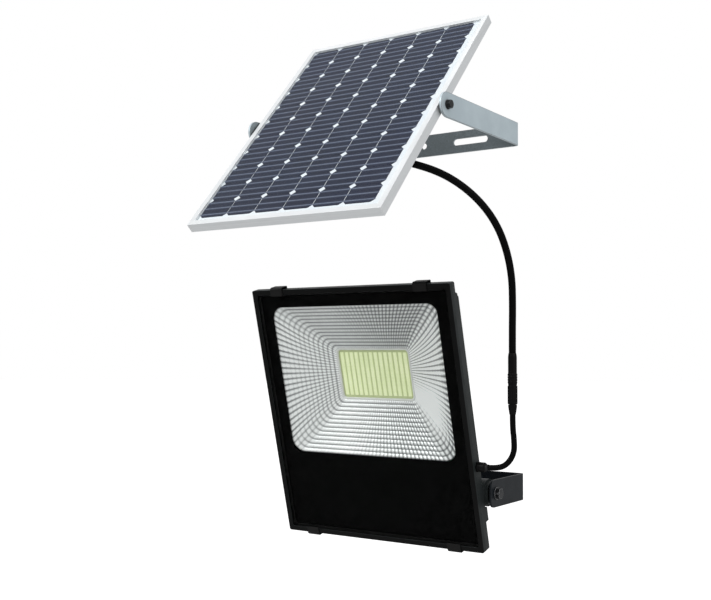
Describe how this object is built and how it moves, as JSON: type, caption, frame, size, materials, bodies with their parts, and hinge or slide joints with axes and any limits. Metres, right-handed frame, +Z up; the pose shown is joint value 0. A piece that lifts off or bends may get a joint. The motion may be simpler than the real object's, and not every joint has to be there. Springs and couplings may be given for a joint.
{
  "type": "solar flood light",
  "caption": "Wall-mounted solar flood light: a flat square LED lamp and a framed solar panel, each tilting on its own U bracket, joined by a cable with a waterproof connector.",
  "frame": {"origin": "middle of the lamp bracket's mounting face, on the wall, where its centre screw hole opens", "axes": "+Z up, -Y out of the wall towards the viewer, +X to the right seen from the front; the wall is the plane Y = 0"},
  "size_m": [0.3996, 0.3532, 0.7235],
  "materials": {
    "bracket_black": "satin powder coat",
    "bracket_zinc": "satin grey coating",
    "housing_black": "die-cast aluminium under gloss black paint",
    "bezel_black": "gloss black paint",
    "lamp_glass": "clear toughened glass",
    "black_print": "gloss",
    "seal_rubber": "matte",
    "reflector_chrome": "bright faceted",
    "board_white": "white solder mask on aluminium",
    "phosphor": "matte",
    "screw_steel": "bright",
    "cell_sleeve": "shrink sleeve over a metal can",
    "cradle_plastic": "matte",
    "nickel": "bright",
    "board_green": "satin",
    "part_black": "matte",
    "clip_black": "gloss black spring steel",
    "gland_black": "satin",
    "bolt_steel": "dark plated, worn bright on the edges",
    "bolt_black": "black oxide",
    "spacer_black": "matte",
    "insert_brass": "bright",
    "rail_silver": "clear anodised",
    "panel_glass": "clear toughened glass",
    "sheet_white": "matte",
    "silicon": "dark blue monocrystalline",
    "ribbon_tin": "satin",
    "box_black": "satin",
    "connector_black": "satin",
    "cable_black": "matte sheath"
  },
  "bodies": {
    "wall_mount": {"lamp_bracket": "bracket_black", "panel_bracket": "bracket_zinc", "connector_socket": "connector_black", "connector_plug": "connector_black", "connector_seal": "seal_rubber", "connector_pins": "insert_brass", "panel_lead": "cable_black", "lamp_lead": "cable_black"},
    "lamp": {"lamp_housing": "housing_black", "lamp_bezel": "bezel_black", "front_glass": "lamp_glass", "glass_seal": "seal_rubber", "glass_print": "black_print", "reflector": "reflector_chrome", "led_board": "board_white", "led_chips": "phosphor", "board_screws": "screw_steel", "reflector_screws": "screw_steel", "battery_cells": "cell_sleeve", "battery_cradle": "cradle_plastic", "battery_links": "nickel", "controller_board": "board_green", "controller_parts": "part_black", "controller_screws": "screw_steel", "glass_clip_top_left": "clip_black", "glass_clip_top_right": "clip_black", "glass_clip_bottom_left": "clip_black", "glass_clip_bottom_right": "clip_black", "lamp_gland_body": "gland_black", "lamp_gland_cap": "gland_black", "lamp_gland_bush": "seal_rubber", "lamp_gland_nut": "gland_black", "lamp_bolt_left": "bolt_steel", "lamp_bolt_right": "bolt_steel", "lamp_washers": "bolt_steel", "lamp_spacers": "spacer_black"},
    "panel": {"panel_rail_left": "rail_silver", "panel_rail_right": "rail_silver", "panel_rail_bottom": "rail_silver", "panel_rail_top": "rail_silver", "corner_keys": "rail_silver", "panel_glass": "panel_glass", "panel_backsheet": "sheet_white", "solar_cells": "silicon", "cell_ribbons": "ribbon_tin", "junction_box": "box_black", "junction_lid": "box_black", "junction_screws": "screw_steel", "junction_terminals": "insert_brass", "bypass_diode": "part_black", "junction_gland_body": "gland_black", "junction_gland_cap": "gland_black", "junction_gland_bush": "seal_rubber", "junction_gland_nut": "gland_black", "panel_bolt_left": "bolt_black", "panel_bolt_right": "bolt_black", "panel_washers": "bolt_black", "panel_spacers": "spacer_black", "panel_inserts": "insert_brass"},
    "coupling_nut": {"connector_nut": "connector_black"}
  },
  "joints": [
    {"name": "lamp_tilt", "type": "hinge", "parent": "wall_mount", "child": "lamp", "pos_m": [0, -0.088, 0], "axis": [1, 0, 0], "range_deg": [-14.9, 75.1], "deforming": ["lamp_lead"]},
    {"name": "panel_tilt", "type": "hinge", "parent": "wall_mount", "child": "panel", "pos_m": [0.0113, -0.2097, 0.4926], "axis": [1, 0, 0], "range_deg": [-47.7, 42.3], "deforming": ["panel_lead"]},
    {"name": "coupling_nut_turn", "type": "hinge", "parent": "wall_mount", "child": "coupling_nut", "pos_m": [0.2105, -0.121, 0.131], "axis": [0, 0, 1], "continuous": true}
  ]
}
